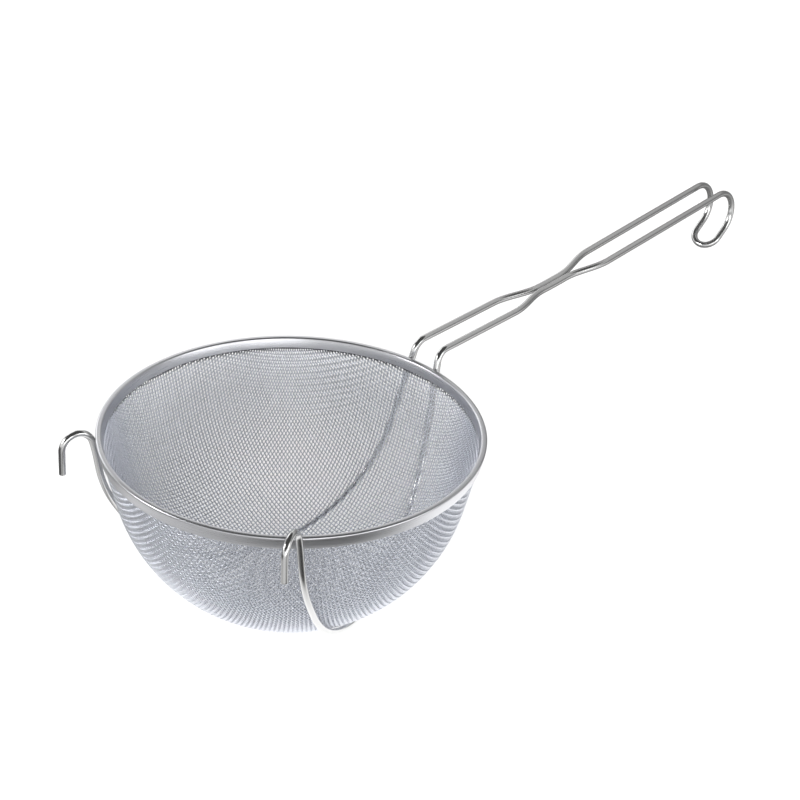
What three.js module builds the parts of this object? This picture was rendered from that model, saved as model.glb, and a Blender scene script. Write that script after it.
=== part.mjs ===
// Round-bottomed wire strainer: a bowl of woven wire cloth, a folded rim band and one bent frame wire.
// Millimetres, +Z up. The origin is on the bowl's axis in the plane of the rim's top, the handle runs
// along +X, and left is +Y.
import * as THREE from 'three';

// Bowl and rim
const rimRadius = 110; // outer face of the band, at its top
const bowlInset = 7; // the round bottom's outer radius is this much smaller than the rim's
const bowlDepth = 115.5; // from the rim's top to the underside of the cloth
const clothThickness = 1.6; // two wires of the cloth where they cross
const stripThickness = 0.6; // sheet that the band is folded from
const bandHeight = 8; // outer leg of the folded band
const bandInnerHeight = 6; // inner leg of the folded band
const bandEdgeRound = 0.5; // rounding of the fold's two edges
const clearance = 0.3; // between pieces that touch

// Frame wire
const wireDiameter = 4;
const supportBow = 2.6; // how far a support stands off the wall, half way down from its pot hook
const supportTouch = 62; // depth below the rim's top from which a support lies on the cloth
const legSpacing = 19; // between the legs' centre lines where they pass the rim
const handleSpacing = 17; // between the legs' centre lines along the handle
const handleRise = 8.6; // centre line of the handle above the rim, as far as the pinch
const handlePitch = THREE.MathUtils.degToRad(3); // the handle rises from the pinch to its end
const rootBendRadius = 8;
const handleReach = 387.5; // from the bowl's axis to where the hanging loop starts to curl
const pinchReach = 228.5; // from the bowl's axis to the middle of the pinch in the handle
const pinchLength = 20; // stretch in which the legs lie side by side
const pinchBend = 35; // stretch in which the legs come together, and in which they part again

// Pot hooks and hanging loop
const leftHookAngle = THREE.MathUtils.degToRad(137.5); // round the rim, from the handle
const rightHookAngle = THREE.MathUtils.degToRad(134);
const leftHookRise = -4.3; // above the rim's top, where the hook starts to arch outwards
const rightHookRise = 3;
const hookRadius = 9.3;
const hookDrop = 15; // straight end of the hook
const curlRadius = 15.5;
const curlTurn = THREE.MathUtils.degToRad(147);
const loopStraight = 7.5; // between the curl and the U-shaped end

// Facets
const roundSegments = 60; // round the bowl's axis
const bowlArcSteps = 10;
const wireSides = 8;
const routeStep = 1; // spacing of the points that a wire's route is worked out at
const longStep = 5; // tube rings along straight and gently bent stretches
const shortStep = 2.5; // tube rings along tight bends

// Steel finishes
const clothFinish = { color: 0xb4b8c0, roughness: 0.38, metalness: 1 };
const bandFinish = { color: 0xb9bcc0, roughness: 0.3, metalness: 1 };
const wireFinish = { color: 0xbdbebf, roughness: 0.22, metalness: 1 };

const wireRadius = wireDiameter / 2;
const bowlRadius = rimRadius - bowlInset;
const centreDepth = bowlDepth - bowlRadius;

// A wall line leaves the round bottom at a tangent. It is given by its distance from the bottom's centre
// and its slope from the vertical.
function wallRadius(offset, slope, z) {
  return (offset + Math.sin(slope) * (z + centreDepth)) / Math.cos(slope);
}

// Slope of the wall line at this distance from the centre that passes through a point.
function wallSlopeThrough(offset, radius, z) {
  const rise = z + centreDepth;
  return Math.acos(offset / Math.hypot(radius, rise)) - Math.atan2(rise, radius);
}

// The band lies on the outer side of the cloth, and its outer face reaches the rim's radius at the top.
const bandOffset = bowlRadius + clearance + stripThickness;
const wallSlope = wallSlopeThrough(bandOffset, rimRadius, 0);

// The frame wire lies on the cloth and passes the lower edge of the band.
const bandFootRadius = wallRadius(bandOffset, wallSlope, -bandHeight);
const wireSlope = wallSlopeThrough(bowlRadius, bandFootRadius, -bandHeight);
const wireOffset = bowlRadius + clearance + wireRadius;

function wireRadiusAt(z) {
  return wallRadius(wireOffset, wireSlope, z);
}

// A solid turned round the bowl's axis from a closed outline of (radius, height) points.
function turnedSolid(name, outline, finish) {
  const profile = outline.map(([radius, z]) => new THREE.Vector2(radius, z));
  const geometry = new THREE.LatheGeometry(profile, roundSegments);
  geometry.rotateX(Math.PI / 2);
  const mesh = new THREE.Mesh(geometry, new THREE.MeshStandardMaterial(finish));
  mesh.name = name;
  return mesh;
}

// One side of the cloth, from the bottom on the axis up to the top edge.
function clothSide(radius, top) {
  const points = [];
  const arc = Math.PI / 2 - wallSlope;
  for (let step = 0; step <= bowlArcSteps; step += 1) {
    const angle = (arc * step) / bowlArcSteps;
    points.push([radius * Math.sin(angle), -centreDepth - radius * Math.cos(angle)]);
  }
  points.push([wallRadius(radius, wallSlope, top), top]);
  return points;
}

// The woven cloth as a thin shell: a round bottom with a straight flared wall, its edge inside the band.
function meshBowl() {
  const top = -stripThickness - clearance;
  const outside = clothSide(bowlRadius, top);
  const inside = clothSide(bowlRadius - clothThickness, top);
  return turnedSolid('mesh_bowl', [...outside, ...inside.reverse()], clothFinish);
}

// The band: a strip folded over the cloth's edge, its outer leg longer than its inner one.
function rimBand() {
  const outerFace = bandOffset;
  const outerBack = bandOffset - stripThickness;
  const innerBack = bowlRadius - clothThickness - clearance;
  const innerFace = innerBack - stripThickness;
  const at = (offset, z) => [wallRadius(offset, wallSlope, z), z];
  const outerTop = at(outerFace, 0)[0] - bandEdgeRound;
  const innerTop = at(innerFace, 0)[0] + bandEdgeRound;
  const outline = [
    at(outerFace, -bandHeight),
    at(outerFace, -bandEdgeRound),
    [outerTop, 0],
    [innerTop, 0],
    at(innerFace, -bandEdgeRound),
    at(innerFace, -bandInnerHeight),
    at(innerBack, -bandInnerHeight),
    at(innerBack, -stripThickness),
    at(outerBack, -stripThickness),
    at(outerBack, -bandHeight),
    at(outerFace, -bandHeight),
  ];
  return turnedSolid('rim_band', outline, bandFinish);
}

// A curve through closely spaced points, measured along its length, with both ends drawn back by a gap.
class WireRoute extends THREE.Curve {
  constructor(points, endGap) {
    super();
    this.points = points;
    this.endGap = endGap;
    this.distances = [0];
    for (let index = 1; index < points.length; index += 1) {
      const step = points[index].distanceTo(points[index - 1]);
      this.distances.push(this.distances[index - 1] + step);
    }
    this.span = this.distances[points.length - 1] - 2 * endGap;
  }

  getPoint(share, target = new THREE.Vector3()) {
    const distance = this.endGap + share * this.span;
    let index = 1;
    while (index < this.points.length - 1 && this.distances[index] < distance) {
      index += 1;
    }
    const before = this.distances[index - 1];
    const along = (distance - before) / (this.distances[index] - before);
    return target.lerpVectors(this.points[index - 1], this.points[index], along);
  }
}

// A stretch of the frame wire. Where stretches meet, each ends half a clearance short.
function wireTube(name, points, ringStep) {
  const corners = [];
  for (let side = 0; side < wireSides; side += 1) {
    const angle = (2 * Math.PI * side) / wireSides;
    corners.push(new THREE.Vector2(wireRadius * Math.cos(angle), wireRadius * Math.sin(angle)));
  }
  const route = new WireRoute(points, clearance / 2);
  const settings = { steps: Math.ceil(route.span / ringStep), bevelEnabled: false, extrudePath: route };
  const geometry = new THREE.ExtrudeGeometry(new THREE.Shape(corners), settings);
  const mesh = new THREE.Mesh(geometry, new THREE.MeshStandardMaterial(wireFinish));
  mesh.name = name;
  return mesh;
}

// Points along a stretch: place(0) to place(1), about one route step apart.
function sample(length, place) {
  const count = Math.max(2, Math.ceil(length / routeStep));
  const points = [];
  for (let index = 0; index <= count; index += 1) {
    points.push(place(index / count));
  }
  return points;
}

function mirrored(points) {
  return points.map((point) => new THREE.Vector3(point.x, -point.y, point.z));
}

// Where the wire passes the rim's top, and the angle from the handle at which the legs do so.
const rimWireRadius = wireRadiusAt(0);
const legAngle = Math.asin(legSpacing / 2 / rimWireRadius);

// Each half of the frame lies in an upright plane that cuts the rim at a handle leg and at a pot hook. It is
// worked out for the left side, and the right half is mirrored.
class FramePlane {
  constructor(hookAngle) {
    const halfAngle = (hookAngle - legAngle) / 2;
    const middleAngle = legAngle + halfAngle;
    this.distance = rimWireRadius * Math.cos(halfAngle);
    this.outwards = new THREE.Vector3(Math.cos(middleAngle), Math.sin(middleAngle), 0);
    this.towardsLeg = new THREE.Vector3(Math.sin(middleAngle), -Math.cos(middleAngle), 0);
  }

  // A point of the plane, from its distance towards the leg and its height.
  at(along, z) {
    const point = new THREE.Vector3(0, 0, z);
    return point.addScaledVector(this.outwards, this.distance).addScaledVector(this.towardsLeg, along);
  }

  // How far along the plane a wire on the bowl's wall lies at a height.
  wallAlong(z) {
    return Math.sqrt(wireRadiusAt(z) ** 2 - this.distance ** 2);
  }

  // How far that wire leans outwards in the plane for each unit it rises.
  wallLean(z) {
    return (wireRadiusAt(z) * Math.tan(wireSlope)) / this.wallAlong(z);
  }
}

// From the pot hook down beside the wall, round under the bowl and up the wall to the handle leg.
function supportPoints(plane, hookRise) {
  const arcRadius = Math.sqrt(wireOffset ** 2 - plane.distance ** 2);
  const wallFoot = -centreDepth - wireOffset * Math.sin(wireSlope);
  const arcEnd = Math.acos((wireOffset * Math.sin(wireSlope)) / arcRadius);
  const bow = (z) => {
    const share = THREE.MathUtils.clamp((hookRise - z) / (hookRise + supportTouch), 0, 1);
    return supportBow * Math.sin(Math.PI * share) ** 2;
  };
  const down = sample(hookRise - wallFoot, (share) => {
    const z = THREE.MathUtils.lerp(hookRise, wallFoot, share);
    return plane.at(-plane.wallAlong(z) - bow(z), z);
  });
  const under = sample(2 * arcEnd * arcRadius, (share) => {
    const angle = THREE.MathUtils.lerp(-arcEnd, arcEnd, share);
    const z = -centreDepth - arcRadius * Math.cos(angle);
    const standOff = angle < 0 ? bow(z) : 0;
    return plane.at(arcRadius * Math.sin(angle) - standOff, z);
  });
  const up = sample(-wallFoot, (share) => {
    const z = THREE.MathUtils.lerp(wallFoot, 0, share);
    return plane.at(plane.wallAlong(z), z);
  });
  return [...down, ...under.slice(1), ...up.slice(1)];
}

// From the support's end: an arch outwards and a straight end that hangs down outside the pot.
function hookPoints(plane, hookRise) {
  const lean = Math.atan(plane.wallLean(hookRise));
  const centreAlong = plane.wallAlong(hookRise) + hookRadius * Math.cos(lean);
  const centreZ = hookRise - hookRadius * Math.sin(lean);
  const arch = sample(hookRadius * (Math.PI - lean), (share) => {
    const heading = THREE.MathUtils.lerp(lean, Math.PI, share);
    const along = centreAlong - hookRadius * Math.cos(heading);
    return plane.at(-along, centreZ + hookRadius * Math.sin(heading));
  });
  const end = sample(hookDrop, (share) => {
    return plane.at(-(centreAlong + hookRadius), centreZ - hookDrop * share);
  });
  return [...arch, ...end.slice(1)];
}

// Points along a round bend that joins two straight runs at a corner.
function roundBend(before, corner, after, radius) {
  const back = before.clone().sub(corner).normalize();
  const onwards = after.clone().sub(corner).normalize();
  const halfAngle = back.angleTo(onwards) / 2;
  const toCentre = back.clone().add(onwards).normalize();
  const centre = corner.clone().addScaledVector(toCentre, radius / Math.sin(halfAngle));
  const start = corner.clone().addScaledVector(back, radius / Math.tan(halfAngle)).sub(centre);
  const finish = corner.clone().addScaledVector(onwards, radius / Math.tan(halfAngle)).sub(centre);
  const turn = Math.PI - 2 * halfAngle;
  return sample(radius * turn, (share) => {
    const startWeight = Math.sin(turn * (1 - share)) / Math.sin(turn);
    const finishWeight = Math.sin(turn * share) / Math.sin(turn);
    const spoke = start.clone().multiplyScalar(startWeight).addScaledVector(finish, finishWeight);
    return spoke.add(centre);
  });
}

// The handle leaves the rim level and is bent up a little along the pinch.
function handleHeight(x) {
  const pastBend = x - pinchReach - pinchLength / 2;
  const bent = THREE.MathUtils.clamp(pastBend + pinchLength, 0, pinchLength);
  const climb = bent ** 2 / (2 * pinchLength) + Math.max(0, pastBend);
  return handleRise + Math.tan(handlePitch) * climb;
}

// Half the distance between the legs' centre lines, from side by side in the pinch to wide apart.
function legHalfSpacing(x) {
  const pinched = wireRadius + clearance / 2;
  const share = (Math.abs(x - pinchReach) - pinchLength / 2) / pinchBend;
  const opened = (1 - Math.cos(Math.PI * THREE.MathUtils.clamp(share, 0, 1))) / 2;
  return THREE.MathUtils.lerp(pinched, handleSpacing / 2, opened);
}

// A leg of the handle, from the rim over the root bend, through the pinch and on to the hanging loop.
function handleLegPoints(plane) {
  const pinchStart = pinchReach - pinchLength / 2 - pinchBend;
  const pinchEnd = pinchReach + pinchLength / 2 + pinchBend;
  const root = plane.at(plane.wallAlong(0), 0);
  const corner = plane.at(plane.wallAlong(handleRise), handleRise);
  const onHandle = (x) => new THREE.Vector3(x, legHalfSpacing(x), handleHeight(x));
  const bend = roundBend(root, corner, onHandle(pinchStart), rootBendRadius);
  const pinch = sample(pinchEnd - pinchStart, (share) => {
    return onHandle(THREE.MathUtils.lerp(pinchStart, pinchEnd, share));
  });
  return [root, ...bend, ...pinch, onHandle(handleReach)];
}

// The legs curl down at the handle's end and meet in a U.
function loopPoints() {
  const halfSpacing = handleSpacing / 2;
  const centreX = handleReach + curlRadius * Math.sin(handlePitch);
  const centreZ = handleHeight(handleReach) - curlRadius * Math.cos(handlePitch);
  const endAngle = curlTurn - handlePitch;
  const curl = sample(curlRadius * curlTurn, (share) => {
    const angle = THREE.MathUtils.lerp(-handlePitch, endAngle, share);
    const x = centreX + curlRadius * Math.sin(angle);
    return new THREE.Vector3(x, -halfSpacing, centreZ + curlRadius * Math.cos(angle));
  });
  const heading = new THREE.Vector3(Math.cos(endAngle), 0, -Math.sin(endAngle));
  const bendStart = curl[curl.length - 1].clone().addScaledVector(heading, loopStraight);
  const bend = sample(Math.PI * halfSpacing, (share) => {
    const point = bendStart.clone().addScaledVector(heading, halfSpacing * Math.sin(Math.PI * share));
    point.y = -halfSpacing * Math.cos(Math.PI * share);
    return point;
  });
  return [...curl, ...bend, ...mirrored(curl).reverse()];
}

const leftPlane = new FramePlane(leftHookAngle);
const rightPlane = new FramePlane(rightHookAngle);
const leftSupport = supportPoints(leftPlane, leftHookRise);
const rightSupport = mirrored(supportPoints(rightPlane, rightHookRise));
const leftHook = hookPoints(leftPlane, leftHookRise);
const rightHook = mirrored(hookPoints(rightPlane, rightHookRise));
const leftLeg = handleLegPoints(leftPlane);
const rightLeg = mirrored(handleLegPoints(rightPlane));

const strainer = new THREE.Group();
strainer.add(meshBowl());
strainer.add(rimBand());
strainer.add(wireTube('left_support_wire', leftSupport, longStep));
strainer.add(wireTube('right_support_wire', rightSupport, longStep));
strainer.add(wireTube('left_pot_hook', leftHook, shortStep));
strainer.add(wireTube('right_pot_hook', rightHook, shortStep));
strainer.add(wireTube('left_handle_leg', leftLeg, longStep));
strainer.add(wireTube('right_handle_leg', rightLeg, longStep));
strainer.add(wireTube('hanging_loop', loopPoints(), shortStep));

export default strainer;
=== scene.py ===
"""Round-bottomed wire strainer: woven wire cloth, a folded rim band and one bent frame wire."""
import math

import bpy
import numpy as np
from mathutils import Matrix, Vector


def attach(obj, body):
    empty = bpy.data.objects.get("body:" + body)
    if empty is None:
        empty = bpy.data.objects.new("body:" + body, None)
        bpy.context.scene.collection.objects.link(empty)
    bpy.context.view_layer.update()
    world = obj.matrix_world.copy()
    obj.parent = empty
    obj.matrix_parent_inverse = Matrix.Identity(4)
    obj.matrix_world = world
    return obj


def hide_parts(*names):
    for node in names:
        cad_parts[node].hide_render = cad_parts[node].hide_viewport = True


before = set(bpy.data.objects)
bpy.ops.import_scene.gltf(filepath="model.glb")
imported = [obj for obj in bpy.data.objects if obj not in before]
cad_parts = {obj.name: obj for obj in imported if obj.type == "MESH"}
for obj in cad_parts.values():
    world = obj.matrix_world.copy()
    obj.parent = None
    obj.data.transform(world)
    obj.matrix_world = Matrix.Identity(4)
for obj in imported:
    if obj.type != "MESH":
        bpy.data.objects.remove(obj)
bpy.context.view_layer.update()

# Everything is worked out in millimetres, in the solids' frame, and scaled to metres when a mesh is made.
MM = 0.001

# Bowl and rim, as in the solids
RIM_RADIUS = 110.0
BOWL_INSET = 7.0
BOWL_DEPTH = 115.5
CLOTH_THICKNESS = 1.6
STRIP_THICKNESS = 0.6
BAND_HEIGHT = 8.0
BAND_INNER_HEIGHT = 6.0
CLEARANCE = 0.3

# Frame wire, as in the solids
WIRE_DIAMETER = 4.0
SUPPORT_BOW = 2.6  # how far a support stands off the wall below its pot hook
SUPPORT_TOUCH = 62.0  # depth from which it lies on the cloth
LEG_SPACING = 19.0
HANDLE_SPACING = 17.0
HANDLE_RISE = 8.6
HANDLE_PITCH = math.radians(3)
ROOT_BEND_RADIUS = 8.0
HANDLE_REACH = 387.5
PINCH_REACH = 228.5
PINCH_LENGTH = 20.0
PINCH_BEND = 35.0
LEFT_HOOK_ANGLE = math.radians(137.5)
RIGHT_HOOK_ANGLE = math.radians(134)
LEFT_HOOK_RISE = -4.3
RIGHT_HOOK_RISE = 3.0
HOOK_RADIUS = 9.3
HOOK_DROP = 15.0
CURL_RADIUS = 15.5
CURL_TURN = math.radians(147)
LOOP_STRAIGHT = 7.5

# Woven cloth
CLOTH_PITCH = 2.1
CLOTH_WIRE = 0.8
CLOTH_TOP = -1.6  # the cut ends of the cloth are hidden inside the fold
WAVE_STEPS = 2  # rings from one crossing to the next
CLOTH_SIDES = 4
NET_REACH = 88  # crossings worked out from the bottom along each wire direction
NET_ROUNDS = 8  # steps in which a crossing is brought onto the cloth
LEAST_SLOPE = 1e-6  # below this a crossing can't be brought onto the cloth
TONE_STEP = 0.618034  # from one wire's tone to the next, so that neighbours differ
HEM_SHADOW = (-9.2, -6.8)  # heights between which a shadow is painted on the cloth beside the band's lower edge

# Fineness of the band and the frame wire
BAND_SEGMENTS = 240
FOLD_ROUND = 1.0
HEM_ROUND = 0.25
CORNER_STEPS = 5
ROUTE_STEP = 1.0
WIRE_SIDES = 20
WIRE_END = [(0.0, 0.55), (0.2, 0.86), (0.55, 1.0)]  # distance from a cut end, and share of the radius there
FIRST_SPOKE = (0.3, 0.5, 0.8)  # a direction that the wire's end doesn't run along

wire_radius = WIRE_DIAMETER / 2
bowl_radius = RIM_RADIUS - BOWL_INSET
centre_depth = BOWL_DEPTH - bowl_radius


def wall_radius(offset, slope, z):
    """Radius at a height of the wall line that lies at this distance from the round bottom's centre."""
    return (offset + math.sin(slope) * (z + centre_depth)) / math.cos(slope)


def wall_slope_through(offset, radius, z):
    """Slope of the wall line at this distance from the centre that passes through a point."""
    rise = z + centre_depth
    return math.acos(offset / math.hypot(radius, rise)) - math.atan2(rise, radius)


band_offset = bowl_radius + CLEARANCE + STRIP_THICKNESS
wall_slope = wall_slope_through(band_offset, RIM_RADIUS, 0)
band_foot_radius = wall_radius(band_offset, wall_slope, -BAND_HEIGHT)
wire_slope = wall_slope_through(bowl_radius, band_foot_radius, -BAND_HEIGHT)
wire_offset = bowl_radius + CLEARANCE + wire_radius


# Meshes

def make_object(name, points, faces, smooth=True):
    """A mesh object from points in millimetres."""
    mesh = bpy.data.meshes.new(name)
    mesh.from_pydata((np.asarray(points) * MM).tolist(), [], faces)
    mesh.validate()
    mesh.update()
    if smooth:
        mesh.polygons.foreach_set("use_smooth", [True] * len(mesh.polygons))
    thing = bpy.data.objects.new(name, mesh)
    bpy.context.scene.collection.objects.link(thing)
    return thing


def ring_faces(rings, sides, first=0, closed_path=False):
    """Quads between rings of points that follow one another."""
    faces = []
    spans = rings if closed_path else rings - 1
    for ring in range(spans):
        here = first + ring * sides
        there = first + ((ring + 1) % rings) * sides
        for side in range(sides):
            after = (side + 1) % sides
            faces.append((here + side, here + after, there + after, there + side))
    return faces


def add_values(thing, name, values):
    """A number on each point of a mesh, for its material."""
    layer = thing.data.attributes.new(name, "FLOAT", "POINT")
    layer.data.foreach_set("value", np.asarray(values, dtype=np.float32))


# Woven cloth: a net of equal cells on the bowl, the shape that a flat cloth takes when it is pressed in

cloth_radius = bowl_radius - CLOTH_THICKNESS / 2
closed_cell = CLOTH_WIRE / 2  # width below which a cell has no room for another crossing


def off_cloth(point):
    """Distance of a point from the middle of the cloth, and the direction away from it."""
    radius = math.hypot(point.x, point.y)
    rise = point.z + centre_depth
    if rise < -math.tan(wall_slope) * radius:
        away = Vector((point.x, point.y, rise))
        length = away.length
        return length - cloth_radius, away / length
    distance = radius * math.cos(wall_slope) - rise * math.sin(wall_slope) - cloth_radius
    outwards = math.cos(wall_slope) / radius
    return distance, Vector((point.x * outwards, point.y * outwards, -math.sin(wall_slope)))


def up_the_cloth(distance):
    """Radius and height at a distance along the cloth from the middle of its bottom."""
    arc = cloth_radius * (math.pi / 2 - wall_slope)
    turn = min(distance, arc) / cloth_radius
    beyond = max(0.0, distance - arc)
    radius = cloth_radius * math.sin(turn) + beyond * math.sin(wall_slope)
    height = -centre_depth - cloth_radius * math.cos(turn) + beyond * math.cos(wall_slope)
    return radius, height


def next_crossing(one, other, before):
    """The fourth corner of a cell whose sides are one pitch long, on the cloth."""
    middle = (one + other) / 2
    half = (other - one).length / 2
    if half >= CLOTH_PITCH or half < closed_cell / 2:
        return None
    reach = math.sqrt(CLOTH_PITCH ** 2 - half ** 2)
    axis = (other - one).normalized()
    onwards = middle - before
    onwards -= axis * onwards.dot(axis)
    onwards.normalize()
    across = axis.cross(onwards)
    angle = 0.0
    for _ in range(NET_ROUNDS):
        point = middle + reach * (math.cos(angle) * onwards + math.sin(angle) * across)
        error, away = off_cloth(point)
        slope = away.dot(reach * (math.cos(angle) * across - math.sin(angle) * onwards))
        if abs(slope) < LEAST_SLOPE:
            return None
        angle -= error / slope
    return middle + reach * (math.cos(angle) * onwards + math.sin(angle) * across)


def quarter_net():
    """Crossings of a quarter of the cloth by their counts along x and y, up to the rim."""
    net = {}
    for count in range(NET_REACH):
        radius, height = up_the_cloth(count * CLOTH_PITCH)
        net[count, 0] = Vector((radius, 0, height))
        net[0, count] = Vector((0, radius, height))
    for total in range(2, 2 * NET_REACH):
        for along in range(1, total):
            across = total - along
            neighbours = [(along - 1, across), (along, across - 1), (along - 1, across - 1)]
            if not all(place in net for place in neighbours):
                continue
            point = next_crossing(*[net[place] for place in neighbours])
            if point is not None and point.z < CLOTH_PITCH:
                net[along, across] = point
    return {place: point for place, point in net.items() if point.z < CLOTH_TOP}


def cloth_wire(crossings, first_side):
    """Rings round one wire of the cloth that waves over and under at its crossings."""
    places = np.array([tuple(point) for point in crossings])
    away = np.array([tuple(off_cloth(point)[1]) for point in crossings])
    signs = first_side * np.where(np.arange(len(places)) % 2 == 0, 1.0, -1.0)
    stations = []
    normals = []
    for step in range(WAVE_STEPS):
        share = step / WAVE_STEPS
        middle_line = (1 - share) * places[:-1] + share * places[1:]
        normal = (1 - share) * away[:-1] + share * away[1:]
        wave = CLOTH_WIRE / 2 * math.cos(math.pi * share) * signs[:-1]
        stations.append(middle_line + normal * wave[:, None])
        normals.append(normal)
    path = np.stack(stations, 1).reshape(-1, 3)
    normal = np.stack(normals, 1).reshape(-1, 3)
    last = places[-1:] + away[-1:] * (CLOTH_WIRE / 2 * signs[-1])
    path = np.concatenate([path, last])
    normal = np.concatenate([normal, away[-1:]])
    along = np.gradient(path, axis=0)
    along /= np.linalg.norm(along, axis=1)[:, None]
    across = np.cross(along, normal)
    across /= np.linalg.norm(across, axis=1)[:, None]
    normal = np.cross(across, along)
    rings = []
    for side in range(CLOTH_SIDES):
        angle = 2 * math.pi * (side + 0.5) / CLOTH_SIDES
        spoke = math.cos(angle) * normal + math.sin(angle) * across
        rings.append(path + spoke * CLOTH_WIRE / 2)
    return np.stack(rings, 1).reshape(-1, 3)


def cloth_piece(name, wires):
    """Many wires of the cloth in one mesh. Each wire is its crossings and the side it starts on."""
    points = []
    faces = []
    tones = []
    first = 0
    for number, (crossings, first_side) in enumerate(wires):
        rings = cloth_wire(crossings, first_side)
        count = len(rings) // CLOTH_SIDES
        points.append(rings)
        faces += ring_faces(count, CLOTH_SIDES, first)
        faces.append(tuple(first + side for side in reversed(range(CLOTH_SIDES))))
        faces.append(tuple(first + len(rings) - CLOTH_SIDES + side for side in range(CLOTH_SIDES)))
        tones.append(np.full(len(rings), (number * TONE_STEP) % 1.0))
        first += len(rings)
    thing = make_object(name, np.concatenate(points), faces)
    add_values(thing, "wire_tone", np.concatenate(tones))
    return thing


def wire_crossings(net, reach, family, fixed):
    """A wire's crossings from the quarter net and its mirror images, and the count of the first one."""
    crossings = []
    counts = []
    for moving in range(-reach, reach + 1):
        place = (moving, fixed) if family == "along" else (fixed, moving)
        point = net.get((abs(place[0]), abs(place[1])))
        if point is not None:
            x = math.copysign(point.x, place[0])
            y = math.copysign(point.y, place[1])
            crossings.append(Vector((x, y, point.z)))
            counts.append(moving)
    return crossings, min(counts, default=0)


def woven_cloth():
    """Wires along the handle, in a left and a right piece, and across it, in a front and a back piece."""
    net = quarter_net()
    reach = 1 + max(max(place) for place in net)
    pieces = {"along_left": [], "along_right": [], "across_front": [], "across_back": []}
    for fixed in range(-reach, reach + 1):
        for family, halves in (("along", ("right", "left")), ("across", ("front", "back"))):
            crossings, first_count = wire_crossings(net, reach, family, fixed)
            if len(crossings) < 2:
                continue
            even = (first_count + fixed) % 2 == 0
            first_side = 1.0 if even == (family == "along") else -1.0
            pieces[f"{family}_{halves[fixed >= 0]}"].append((crossings, first_side))
    return [cloth_piece(f"cloth_{name}", wires) for name, wires in pieces.items()]


# Rim band

def corner_arc(before, corner, after, radius):
    """Length of the arc that rounds a corner between two straight runs, and its point at a share of it."""
    back = (before - corner) / np.linalg.norm(before - corner)
    onwards = (after - corner) / np.linalg.norm(after - corner)
    half = math.acos(np.clip(back @ onwards, -1, 1)) / 2
    toward = (back + onwards) / np.linalg.norm(back + onwards)
    centre = corner + toward * radius / math.sin(half)
    start = corner + back * radius / math.tan(half) - centre
    finish = corner + onwards * radius / math.tan(half) - centre
    turn = math.pi - 2 * half

    def place(share):
        leaving = math.sin(turn * (1 - share)) / math.sin(turn)
        arriving = math.sin(turn * share) / math.sin(turn)
        return centre + start * leaving + finish * arriving

    return radius * turn, place


def rounded(outline, rounds):
    """A closed outline with its corners rounded to the given radii."""
    corners = [np.array(corner) for corner in outline]
    points = []
    for index, radius in enumerate(rounds):
        if radius == 0:
            points.append(corners[index])
            continue
        following = corners[(index + 1) % len(corners)]
        _, place = corner_arc(corners[index - 1], corners[index], following, radius)
        points += [place(step / CORNER_STEPS) for step in range(CORNER_STEPS + 1)]
    return np.array(points)


def rim_band():
    """The strip folded over the cloth's edge, with a round fold and round hems."""
    outer_back = band_offset - STRIP_THICKNESS
    inner_back = bowl_radius - CLOTH_THICKNESS - CLEARANCE
    inner_face = inner_back - STRIP_THICKNESS

    def at(offset, z):
        return wall_radius(offset, wall_slope, z), z

    outline = [
        at(band_offset, -BAND_HEIGHT),
        at(band_offset, 0),
        at(inner_face, 0),
        at(inner_face, -BAND_INNER_HEIGHT),
        at(inner_back, -BAND_INNER_HEIGHT),
        at(inner_back, -STRIP_THICKNESS),
        at(outer_back, -STRIP_THICKNESS),
        at(outer_back, -BAND_HEIGHT),
    ]
    rounds = [HEM_ROUND, FOLD_ROUND, FOLD_ROUND, HEM_ROUND, HEM_ROUND, 0, 0, HEM_ROUND]
    profile = rounded(outline, rounds)
    angles = 2 * math.pi * np.arange(BAND_SEGMENTS) / BAND_SEGMENTS
    x = np.cos(angles)[:, None] * profile[None, :, 0]
    y = np.sin(angles)[:, None] * profile[None, :, 0]
    z = np.broadcast_to(profile[None, :, 1], x.shape)
    points = np.stack([x, y, z], 2).reshape(-1, 3)
    faces = ring_faces(BAND_SEGMENTS, len(profile), closed_path=True)
    return make_object("rim_band_folded", points, faces)


# Frame wire

rim_wire_radius = wall_radius(wire_offset, wire_slope, 0)
leg_angle = math.asin(LEG_SPACING / 2 / rim_wire_radius)


class FramePlane:
    """The upright plane of the frame's left half, through the handle leg and the pot hook at the rim."""

    def __init__(self, hook_angle):
        half_angle = (hook_angle - leg_angle) / 2
        middle = leg_angle + half_angle
        self.distance = rim_wire_radius * math.cos(half_angle)
        self.outwards = np.array((math.cos(middle), math.sin(middle), 0.0))
        self.towards_leg = np.array((math.sin(middle), -math.cos(middle), 0.0))

    def at(self, along, z):
        """A point of the plane, from its distance towards the leg and its height."""
        return self.outwards * self.distance + self.towards_leg * along + np.array((0.0, 0.0, z))

    def wall_along(self, z):
        """How far along the plane a wire on the bowl's wall lies at a height."""
        return math.sqrt(wall_radius(wire_offset, wire_slope, z) ** 2 - self.distance ** 2)


def sample(length, place):
    """Points along a stretch, about one route step apart."""
    count = max(2, math.ceil(length / ROUTE_STEP))
    return [place(index / count) for index in range(count + 1)]


def between(start, end, share):
    """The number or point at a share of the way from start to end."""
    return start + (end - start) * share


def mirrored(route):
    """The same route on the handle's other side."""
    return [point * np.array((1, -1, 1)) for point in route]


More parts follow.
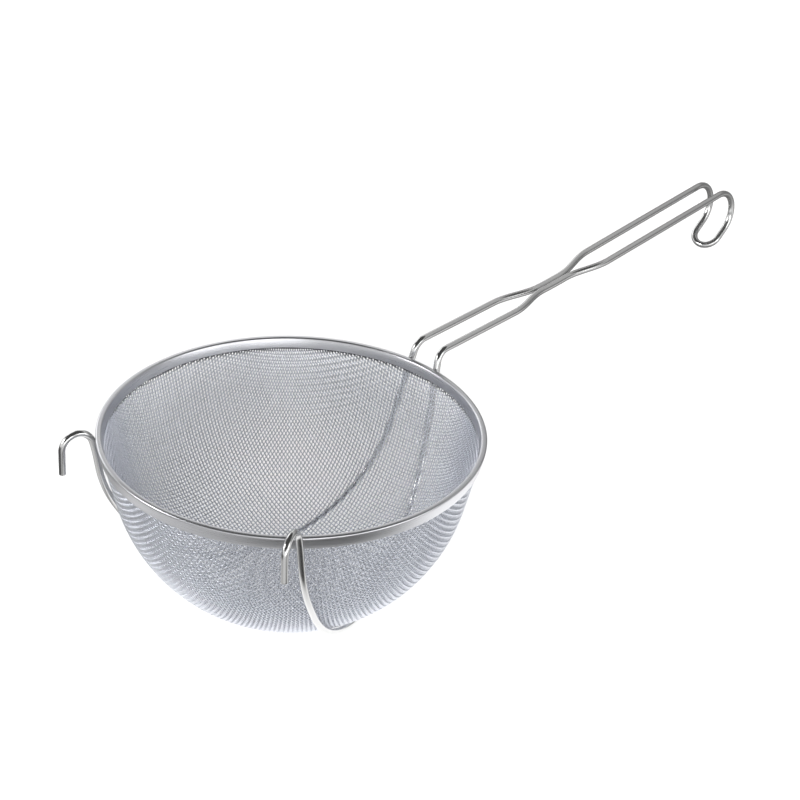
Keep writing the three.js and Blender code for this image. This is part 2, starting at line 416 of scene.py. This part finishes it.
def hook_route(plane, hook_rise):
    """From the support's end: an arch outwards and a straight end that hangs down outside the pot."""
    start = plane.wall_along(hook_rise)
    radius = wall_radius(wire_offset, wire_slope, hook_rise)
    lean = math.atan(radius * math.tan(wire_slope) / start)
    centre = start + HOOK_RADIUS * math.cos(lean)
    centre_z = hook_rise - HOOK_RADIUS * math.sin(lean)

    def arch(share):
        heading = between(lean, math.pi, share)
        along = centre - HOOK_RADIUS * math.cos(heading)
        return plane.at(-along, centre_z + HOOK_RADIUS * math.sin(heading))

    def end(share):
        return plane.at(-centre - HOOK_RADIUS, centre_z - HOOK_DROP * share)

    return sample(HOOK_RADIUS * (math.pi - lean), arch) + sample(HOOK_DROP, end)[1:]


def support_route(plane, hook_rise):
    """From the pot hook down beside the wall, round under the bowl and up the wall to the handle leg."""
    arc_radius = math.sqrt(wire_offset ** 2 - plane.distance ** 2)
    foot = -centre_depth - wire_offset * math.sin(wire_slope)
    arc_end = math.acos(wire_offset * math.sin(wire_slope) / arc_radius)

    def bow(z):
        share = min(max((hook_rise - z) / (hook_rise + SUPPORT_TOUCH), 0), 1)
        return SUPPORT_BOW * math.sin(math.pi * share) ** 2

    def down(share):
        z = between(hook_rise, foot, share)
        return plane.at(-plane.wall_along(z) - bow(z), z)

    def under(share):
        angle = between(-arc_end, arc_end, share)
        z = -centre_depth - arc_radius * math.cos(angle)
        stand_off = bow(z) if angle < 0 else 0
        return plane.at(arc_radius * math.sin(angle) - stand_off, z)

    def up(share):
        z = between(foot, 0, share)
        return plane.at(plane.wall_along(z), z)

    wall = sample(hook_rise - foot, down)
    bottom = sample(2 * arc_end * arc_radius, under)
    return wall + bottom[1:] + sample(-foot, up)[1:]


def handle_height(x):
    """The handle leaves the rim level and is bent up a little along the pinch."""
    past_bend = x - PINCH_REACH - PINCH_LENGTH / 2
    bent = min(max(past_bend + PINCH_LENGTH, 0), PINCH_LENGTH)
    climb = bent ** 2 / (2 * PINCH_LENGTH) + max(0, past_bend)
    return HANDLE_RISE + math.tan(HANDLE_PITCH) * climb


def leg_half_spacing(x):
    """Half the distance between the legs, from side by side in the pinch to wide apart."""
    pinched = wire_radius + CLEARANCE / 2
    share = (abs(x - PINCH_REACH) - PINCH_LENGTH / 2) / PINCH_BEND
    opened = (1 - math.cos(math.pi * min(max(share, 0), 1))) / 2
    return between(pinched, HANDLE_SPACING / 2, opened)


def leg_route(plane):
    """The left leg of the handle: from the rim over the root bend, through the pinch and on to the loop."""
    pinch_start = PINCH_REACH - PINCH_LENGTH / 2 - PINCH_BEND
    root = plane.at(plane.wall_along(0), 0)
    corner = plane.at(plane.wall_along(HANDLE_RISE), HANDLE_RISE)

    def on_handle(x):
        return np.array((x, leg_half_spacing(x), handle_height(x)))

    bend = sample(*corner_arc(root, corner, on_handle(pinch_start), ROOT_BEND_RADIUS))
    run_in = np.linalg.norm(on_handle(pinch_start) - bend[-1])
    near = sample(run_in, lambda share: between(bend[-1], on_handle(pinch_start), share))
    run_out = HANDLE_REACH - pinch_start
    far = sample(run_out, lambda share: on_handle(pinch_start + run_out * share))
    return [root] + bend + near[1:] + far[1:]


def loop_route():
    """The legs curl down at the handle's end and meet in a U."""
    half = HANDLE_SPACING / 2
    centre_x = HANDLE_REACH + CURL_RADIUS * math.sin(HANDLE_PITCH)
    centre_z = handle_height(HANDLE_REACH) - CURL_RADIUS * math.cos(HANDLE_PITCH)
    end = CURL_TURN - HANDLE_PITCH
    heading = np.array((math.cos(end), 0, -math.sin(end)))

    def curl(share):
        angle = between(-HANDLE_PITCH, end, share)
        x = centre_x + CURL_RADIUS * math.sin(angle)
        return np.array((x, half, centre_z + CURL_RADIUS * math.cos(angle)))

    curled = sample(CURL_RADIUS * CURL_TURN, curl)
    straight = sample(LOOP_STRAIGHT, lambda share: curled[-1] + heading * LOOP_STRAIGHT * share)

    def bend(share):
        point = straight[-1] + heading * half * math.sin(math.pi * share)
        point[1] = half * math.cos(math.pi * share)
        return point

    one_side = curled + straight[1:]
    return one_side + sample(math.pi * half, bend)[1:-1] + mirrored(one_side)[::-1]


def tube(name, route, radius, sides):
    """A round wire along a route, with its two cut ends rounded over."""
    path = np.array(route)
    along = np.gradient(path, axis=0)
    along /= np.linalg.norm(along, axis=1)[:, None]
    path_start = [path[0] + along[0] * inset for inset, _ in WIRE_END]
    path_end = [path[-1] - along[-1] * inset for inset, _ in reversed(WIRE_END)]
    path = np.array(path_start + list(path[1:-1]) + path_end)
    rings = len(WIRE_END)
    along = np.array([along[0]] * rings + list(along[1:-1]) + [along[-1]] * rings)
    radii = np.full(len(path), radius)
    radii[:rings] = [radius * share for _, share in WIRE_END]
    radii[-rings:] = [radius * share for _, share in reversed(WIRE_END)]
    spoke = np.cross(along[0], FIRST_SPOKE)
    spoke /= np.linalg.norm(spoke)
    angles = 2 * math.pi * np.arange(sides) / sides
    points = []
    for place, heading, size in zip(path, along, radii):
        spoke = spoke - heading * (spoke @ heading)
        spoke /= np.linalg.norm(spoke)
        other = np.cross(heading, spoke)
        ring = np.cos(angles)[:, None] * spoke + np.sin(angles)[:, None] * other
        points.append(place + ring * size)
    faces = ring_faces(len(path), sides)
    faces.append(tuple(reversed(range(sides))))
    faces.append(tuple((len(path) - 1) * sides + side for side in range(sides)))
    thing = make_object(name, np.concatenate(points), faces)
    steps = np.linalg.norm(np.diff(path, axis=0), axis=1)
    distance = np.concatenate([[0], np.cumsum(steps)]) * MM
    add_values(thing, "wire_along", np.repeat(distance, sides))
    add_values(thing, "wire_round", np.tile(np.cos(angles), len(path)))
    return thing


def half_frame(hook_angle, hook_rise):
    """The frame's left half: hook, support and handle leg."""
    plane = FramePlane(hook_angle)
    up_to_rim = hook_route(plane, hook_rise)[::-1] + support_route(plane, hook_rise)[1:]
    return up_to_rim + leg_route(plane)[1:]


def frame_wire():
    """One wire: hook, support, handle leg, hanging loop, handle leg, support, hook."""
    left = half_frame(LEFT_HOOK_ANGLE, LEFT_HOOK_RISE)
    right = mirrored(half_frame(RIGHT_HOOK_ANGLE, RIGHT_HOOK_RISE))
    route = left + loop_route()[1:-1] + right[::-1]
    return tube("frame_wire", route, wire_radius, WIRE_SIDES)


# Materials

BRIGHTEST_SUM = 1.7  # of a cloth wire's tone and its patches
# Colour of the painted shadow on the cloth beside the band's lower edge
HEM_SHADOW_COLOUR = (0.1, 0.1, 0.11, 1)
BRUSH_STRETCH = (3.0, 2600.0, 2600.0)  # brushed lines run far round the rim and lie close together
DRAWN_STRETCH = (18.0, 9.0, 1.0)  # drawing lines run along the wire


def new_material(name):
    """A material and the helper that adds a node to it."""
    material = bpy.data.materials.new(name)
    material.use_nodes = True
    nodes, links = material.node_tree.nodes, material.node_tree.links

    def add(kind, values=None, inputs=None):
        node = nodes.new(kind)
        for key, value in (values or {}).items():
            setattr(node, key, value)
        for key, value in (inputs or {}).items():
            if isinstance(value, bpy.types.NodeSocket):
                links.new(value, node.inputs[key])
            else:
                node.inputs[key].default_value = value
        return node

    return material, add


def tone_ramp(add, value, dark, light):
    """Mixes two colours by a number from 0 to 1."""
    ramp = add("ShaderNodeValToRGB", inputs={"Fac": value})
    ramp.color_ramp.elements[0].color = (*dark, 1)
    ramp.color_ramp.elements[1].color = (*light, 1)
    return ramp.outputs["Color"]


def noise(add, place, scale, detail):
    """Soft random patches, as a number from 0 to 1."""
    node = add("ShaderNodeTexNoise", inputs={"Vector": place, "Scale": scale, "Detail": detail})
    return node.outputs["Fac"]


def to_range(add, value, low, high, start=0.0, end=1.0):
    """Takes a number between start and end to one between low and high."""
    limits = {"From Min": start, "From Max": end, "To Min": low, "To Max": high}
    return add("ShaderNodeMapRange", inputs={"Value": value, **limits}).outputs["Result"]


def make_steel(material, add, colour, grain, roughness, strength, depth):
    """Makes bare metal of a material, with a grain that changes its roughness and stands out a little."""
    links = material.node_tree.links
    shader = material.node_tree.nodes["Principled BSDF"]
    smoothest, roughest = roughness
    bump = add("ShaderNodeBump", inputs={"Height": grain, "Strength": strength, "Distance": depth * MM})
    links.new(colour, shader.inputs["Base Color"])
    links.new(to_range(add, grain, smoothest, roughest), shader.inputs["Roughness"])
    links.new(bump.outputs["Normal"], shader.inputs["Normal"])
    shader.inputs["Metallic"].default_value = 1.0
    return material


def cloth_steel():
    """Bright drawn wire: each wire a little different, dulled in soft patches, with painted shade beside
    the hem.
    """
    material, add = new_material("cloth_steel")
    place = add("ShaderNodeTexCoord").outputs["Object"]
    tone = add("ShaderNodeAttribute", {"attribute_name": "wire_tone"}).outputs["Fac"]
    patches = noise(add, place, scale=35.0, detail=3.0)
    mixed = add("ShaderNodeMath", {"operation": "ADD"}, {0: tone, 1: patches}).outputs[0]
    share = to_range(add, mixed, low=0.0, high=1.0, end=BRIGHTEST_SUM)
    bright = tone_ramp(add, share, dark=(0.68, 0.70, 0.755), light=(0.82, 0.84, 0.90))
    # Painted shadow: between these heights the cloth is mixed towards a dark colour, where the band's lower
    # edge shades it
    height = add("ShaderNodeSeparateXYZ", inputs={"Vector": place}).outputs["Z"]
    low_edge, high_edge = HEM_SHADOW
    painted_hem_shade = to_range(add, height, low=0.0, high=1.0, start=low_edge * MM, end=high_edge * MM)
    shades = {"Factor": painted_hem_shade, "A": bright, "B": HEM_SHADOW_COLOUR}
    colour = add("ShaderNodeMix", {"data_type": "RGBA"}, shades).outputs["Result"]
    fine = noise(add, place, scale=900.0, detail=2.0)
    return make_steel(material, add, colour, fine, roughness=(0.24, 0.42), strength=0.15, depth=0.1)


def band_steel():
    """Satin strip, brushed round the rim."""
    material, add = new_material("band_steel")
    place = add("ShaderNodeTexCoord").outputs["Object"]
    parts = add("ShaderNodeSeparateXYZ", inputs={"Vector": place}).outputs
    angle = add("ShaderNodeMath", {"operation": "ARCTAN2"}, {0: parts["Y"], 1: parts["X"]}).outputs[0]
    reach = add("ShaderNodeVectorMath", {"operation": "LENGTH"}, {0: place}).outputs["Value"]
    streak_place = add("ShaderNodeCombineXYZ", inputs={"X": angle, "Y": parts["Z"], "Z": reach}).outputs[0]
    stretch = add("ShaderNodeMapping", inputs={"Vector": streak_place, "Scale": BRUSH_STRETCH})
    streaks = noise(add, stretch.outputs[0], scale=1.0, detail=4.0)
    patches = noise(add, place, scale=28.0, detail=3.0)
    colour = tone_ramp(add, patches, dark=(0.65, 0.655, 0.68), light=(0.75, 0.755, 0.78))
    return make_steel(material, add, colour, streaks, roughness=(0.2, 0.4), strength=0.2, depth=0.05)


def frame_steel():
    """Polished wire with faint drawing lines along it."""
    material, add = new_material("frame_steel")
    place = add("ShaderNodeTexCoord").outputs["Object"]
    along = add("ShaderNodeAttribute", {"attribute_name": "wire_along"}).outputs["Fac"]
    round_it = add("ShaderNodeAttribute", {"attribute_name": "wire_round"}).outputs["Fac"]
    line_place = add("ShaderNodeCombineXYZ", inputs={"X": along, "Y": round_it}).outputs[0]
    stretch = add("ShaderNodeMapping", inputs={"Vector": line_place, "Scale": DRAWN_STRETCH})
    lines = noise(add, stretch.outputs[0], scale=1.0, detail=4.0)
    patches = noise(add, place, scale=40.0, detail=2.0)
    colour = tone_ramp(add, patches, dark=(0.63, 0.63, 0.63), light=(0.71, 0.71, 0.705))
    return make_steel(material, add, colour, lines, roughness=(0.1, 0.24), strength=0.1, depth=0.1)


# Pieces

FRAME_NODES = [
    "left_support_wire", "right_support_wire", "left_pot_hook", "right_pot_hook",
    "left_handle_leg", "right_handle_leg", "hanging_loop",
]


def add_piece(thing, material, nodes):
    """Gives a mesh its material, hangs it on the root body and hides the solids it takes the place of."""
    thing.data.materials.append(material)
    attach(thing, "root")
    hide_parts(*nodes)


cloth_material = cloth_steel()
for cloth in woven_cloth():
    add_piece(cloth, cloth_material, ["mesh_bowl"])
add_piece(rim_band(), band_steel(), ["rim_band"])
add_piece(frame_wire(), frame_steel(), FRAME_NODES)


# Camera: the photograph's viewing angle

IMAGE_SIZE = 800
CAMERA_AZIMUTH = math.radians(-46.53)
CAMERA_ELEVATION = math.radians(31.14)
CAMERA_ROLL = math.radians(1.015)
CAMERA_DISTANCE = 1566.5
PIXELS_PER_MM = 1.7825  # at the rim's centre
RIM_CENTRE_PIXEL = (291.8, 430.6)
SENSOR_WIDTH = 36.0
FARTHEST_SEEN = 100.0  # metres


def photo_camera():
    """Looks at the rim's centre from the photograph's side, turned so that it lands on its pixel."""
    azimuth, elevation = CAMERA_AZIMUTH, CAMERA_ELEVATION
    level = math.cos(elevation)
    forward = Vector((-level * math.sin(azimuth), level * math.cos(azimuth), -math.sin(elevation)))
    level_right = Vector((math.cos(azimuth), math.sin(azimuth), 0))
    level_up = level_right.cross(forward)
    right = math.cos(CAMERA_ROLL) * level_right + math.sin(CAMERA_ROLL) * level_up
    up = right.cross(forward)
    place = -forward * CAMERA_DISTANCE
    aim_right = (IMAGE_SIZE / 2 - RIM_CENTRE_PIXEL[0]) / PIXELS_PER_MM
    aim_up = (RIM_CENTRE_PIXEL[1] - IMAGE_SIZE / 2) / PIXELS_PER_MM
    aim = right * aim_right + up * aim_up
    back = (place - aim).normalized()
    side = up.cross(back).normalized()
    top = back.cross(side)
    turn = Matrix((side, top, back)).transposed().to_4x4()
    data = bpy.data.cameras.new("photo_camera")
    data.sensor_width = SENSOR_WIDTH
    data.lens = PIXELS_PER_MM * CAMERA_DISTANCE / IMAGE_SIZE * SENSOR_WIDTH
    data.clip_end = FARTHEST_SEEN
    camera = bpy.data.objects.new("photo_camera", data)
    camera.matrix_world = Matrix.Translation(place * MM) @ turn
    bpy.context.scene.collection.objects.link(camera)
    bpy.context.scene.camera = camera


photo_camera()


# Studio: white background and floor, soft lamps, and grey sheets that only the metal reflects

AMBIENT = 0.15
FLOOR_WHITE = 0.93
FLOOR_GLOW = 0.40  # share of the floor's white that no shadow reaches
FLOOR_LIGHT = 6.3
FLOOR_LIGHT_ANGLE = math.radians(16)
FLOOR_REACH = 3000.0
FLOOR_GAP = 0.2
FLOOR_HEIGHT = -BOWL_DEPTH - FLOOR_GAP
SHEET_HEIGHT = -BOWL_DEPTH
SHEET_SPOKES = 72
CEILING_HEIGHT = 1000.0
CEILING_REACH = 2500.0
CEILING_SHADE = 0.08
WALL_DISTANCE = 900.0
WALL_RIGHT = -1400.0
WALL_LEFT = 650.0

# Shades of the wall, by height
WALL_SHADES = [(FLOOR_HEIGHT, 0.25), (250, 0.25), (450, 0.42), (700, 0.60), (CEILING_HEIGHT, 0.60)]

# Shades of the sheets on the floor, by direction in degrees from +X towards +Y
UNDER_BOWL = [(-180, 1.35), (180, 1.35)]
BESIDE_BOWL = [
    (-180, 0.60), (-150, 0.95), (-80, 1.00), (90, 1.00), (112, 0.35), (165, 0.35), (180, 0.60),
]
SEEN_IN_BAND = [
    (-180, 0.55), (-162, 0.35), (-148, 0.16), (-122, 0.05), (-108, 0.06), (-96, 0.20), (-83, 0.50),
    (-70, 1.00), (-55, 1.30), (-25, 1.30), (10, 0.60), (60, 0.60), (90, 0.40), (118, 0.45), (132, 0.85),
    (158, 0.75), (180, 0.55),
]
SEEN_IN_WIRE = [
    (-180, 0.50), (-165, 0.70), (-135, 0.85), (-110, 0.50), (-65, 0.50), (-45, 1.00), (-25, 0.80),
    (-10, 0.22), (30, 0.22), (50, 0.60), (90, 0.45), (105, 0.10), (165, 0.10), (175, 0.40), (180, 0.50),
]

# Radius of each ring of the sheets on the floor, and its shades
SHEET_RINGS = [
    (0.5, UNDER_BOWL), (95, UNDER_BOWL), (135, BESIDE_BOWL), (158, SEEN_IN_BAND), (225, SEEN_IN_BAND),
    (255, SEEN_IN_WIRE), (2500, SEEN_IN_WIRE),
]


def seen_directly(nodes, links):
    """1 for rays from the camera, and for those that metal or glass sends on, otherwise 0."""
    path = nodes.new("ShaderNodeLightPath")
    seen = path.outputs["Is Camera Ray"]
    for ray in ("Is Glossy Ray", "Is Transmission Ray"):
        either = nodes.new("ShaderNodeMath")
        either.operation = "MAXIMUM"
        links.new(seen, either.inputs[0])
        links.new(path.outputs[ray], either.inputs[1])
        seen = either.outputs[0]
    return seen


def white_world():
    """White where it is seen or reflected, and a weak light otherwise."""
    world = bpy.data.worlds.new("studio")
    bpy.context.scene.world = world
    world.use_nodes = True
    nodes, links = world.node_tree.nodes, world.node_tree.links
    background = nodes["Background"]
    background.inputs["Color"].default_value = (1, 1, 1, 1)
    strength = nodes.new("ShaderNodeMapRange")
    strength.inputs["To Min"].default_value = AMBIENT
    strength.inputs["To Max"].default_value = 1.0
    links.new(seen_directly(nodes, links), strength.inputs["Value"])
    links.new(strength.outputs["Result"], background.inputs["Strength"])


def stage_material(name):
    """An empty material for a thing of the studio."""
    material = bpy.data.materials.new(name)
    material.use_nodes = True
    nodes, links = material.node_tree.nodes, material.node_tree.links
    nodes.remove(nodes["Principled BSDF"])
    return material, nodes, links


def white_floor():
    """Partly matte, so that it keeps the shadow, and clear when it is looked at from below."""
    reach = FLOOR_REACH
    square = [(-reach, -reach), (reach, -reach), (reach, reach), (-reach, reach)]
    corners = [(x, y, FLOOR_HEIGHT) for x, y in square]
    floor = make_object("floor", corners, [(0, 1, 2, 3)], smooth=False)
    material, nodes, links = stage_material("floor")
    matte = nodes.new("ShaderNodeBsdfDiffuse")
    matte.inputs["Color"].default_value = (FLOOR_WHITE, FLOOR_WHITE, FLOOR_WHITE, 1)
    glow = nodes.new("ShaderNodeEmission")
    glow.inputs["Color"].default_value = (1, 1, 1, 1)
    share = nodes.new("ShaderNodeMath")
    share.operation = "MULTIPLY"
    share.inputs[1].default_value = FLOOR_GLOW
    links.new(seen_directly(nodes, links), share.inputs[0])
    mix = nodes.new("ShaderNodeMixShader")
    links.new(share.outputs[0], mix.inputs["Fac"])
    links.new(matte.outputs[0], mix.inputs[1])
    links.new(glow.outputs[0], mix.inputs[2])
    clear = nodes.new("ShaderNodeBsdfTransparent")
    one_sided = nodes.new("ShaderNodeMixShader")
    links.new(nodes.new("ShaderNodeNewGeometry").outputs["Backfacing"], one_sided.inputs["Fac"])
    links.new(mix.outputs[0], one_sided.inputs[1])
    links.new(clear.outputs[0], one_sided.inputs[2])
    links.new(one_sided.outputs[0], nodes["Material Output"].inputs["Surface"])
    floor.data.materials.append(material)


def sheet(name, points, faces, shades):
    """A grey sheet that only the metal reflects, with a shade at each of its points."""
    thing = make_object(name, points, faces, smooth=False)
    add_values(thing, "shade", shades)
    material, nodes, links = stage_material(name)
    shade = nodes.new("ShaderNodeAttribute")
    shade.attribute_name = "shade"
    glow = nodes.new("ShaderNodeEmission")
    links.new(shade.outputs["Fac"], glow.inputs["Strength"])
    links.new(glow.outputs[0], nodes["Material Output"].inputs["Surface"])
    thing.data.materials.append(material)
    thing.visible_camera = False
    thing.visible_diffuse = False
    thing.visible_shadow = False


def dark_ceiling():
    """Hangs over the strainer and ends at the wall, so that the metal reflects something dark above."""
    low, high, side = -CEILING_REACH, WALL_DISTANCE, CEILING_REACH
    corners = [(x, y, CEILING_HEIGHT) for x, y in [(low, -side), (high, -side), (high, side), (low, side)]]
    sheet("ceiling", corners, [(0, 1, 2, 3)], [CEILING_SHADE] * len(corners))


def end_wall():
    """Stands beyond the handle's end, dark low down and lighter higher up."""
    points = []
    shades = []
    for height, shade in WALL_SHADES:
        points += [(WALL_DISTANCE, WALL_RIGHT, height), (WALL_DISTANCE, WALL_LEFT, height)]
        shades += [shade, shade]
    faces = [(2 * row, 2 * row + 1, 2 * row + 3, 2 * row + 2) for row in range(len(WALL_SHADES) - 1)]
    sheet("end_wall", points, faces, shades)


def floor_sheets():
    """Lie round the strainer: the band reflects the near ones, the hooks and the handle the far ones."""
    points = []
    shades = []
    for radius, ring_shades in SHEET_RINGS:
        directions, levels = zip(*ring_shades)
        for spoke in range(SHEET_SPOKES):
            degrees = 360 * spoke / SHEET_SPOKES - 180
            angle = math.radians(degrees)
            points.append((radius * math.cos(angle), radius * math.sin(angle), SHEET_HEIGHT))
            shades.append(np.interp(degrees, directions, levels))
    sheet("floor_sheets", points, ring_faces(len(SHEET_RINGS), SHEET_SPOKES), shades)


def floor_light():
    """Soft light on the floor from the camera's side: the bowl's shadow shows through the cloth."""
    data = bpy.data.lights.new("floor_light", "SUN")
    data.energy = FLOOR_LIGHT
    data.angle = FLOOR_LIGHT_ANGLE
    lamp = bpy.data.objects.new("floor_light", data)
    lamp.rotation_euler = (math.pi / 2 - CAMERA_ELEVATION, 0, CAMERA_AZIMUTH)
    lamp.visible_glossy = False
    bpy.context.scene.collection.objects.link(lamp)


def soft_lamp(name, place, size, power):
    """A round lamp that looks at the bowl. Place and size are in metres."""
    data = bpy.data.lights.new(name, "AREA")
    data.shape = "DISK"
    data.size = size
    data.energy = power
    lamp = bpy.data.objects.new(name, data)
    lamp.location = place
    aim = Vector((0, 0, -BOWL_DEPTH / 2 * MM))
    lamp.rotation_euler = (aim - lamp.location).to_track_quat("-Z", "Y").to_euler()
    bpy.context.scene.collection.objects.link(lamp)


white_world()
white_floor()
dark_ceiling()
end_wall()
floor_sheets()
floor_light()
soft_lamp("front_lamp", place=(-0.77, -1.18, 0.05), size=1.0, power=4.5)
soft_lamp("back_lamp", place=(0.3, 1.4, 0.8), size=0.8, power=3.0)
soft_lamp("left_lamp", place=(-1.1, 0.9, 0.7), size=0.6, power=8.0)
soft_lamp("right_lamp", place=(0.2, -1.2, 0.2), size=0.8, power=2.5)
bpy.context.scene.view_settings.view_transform = "Standard"
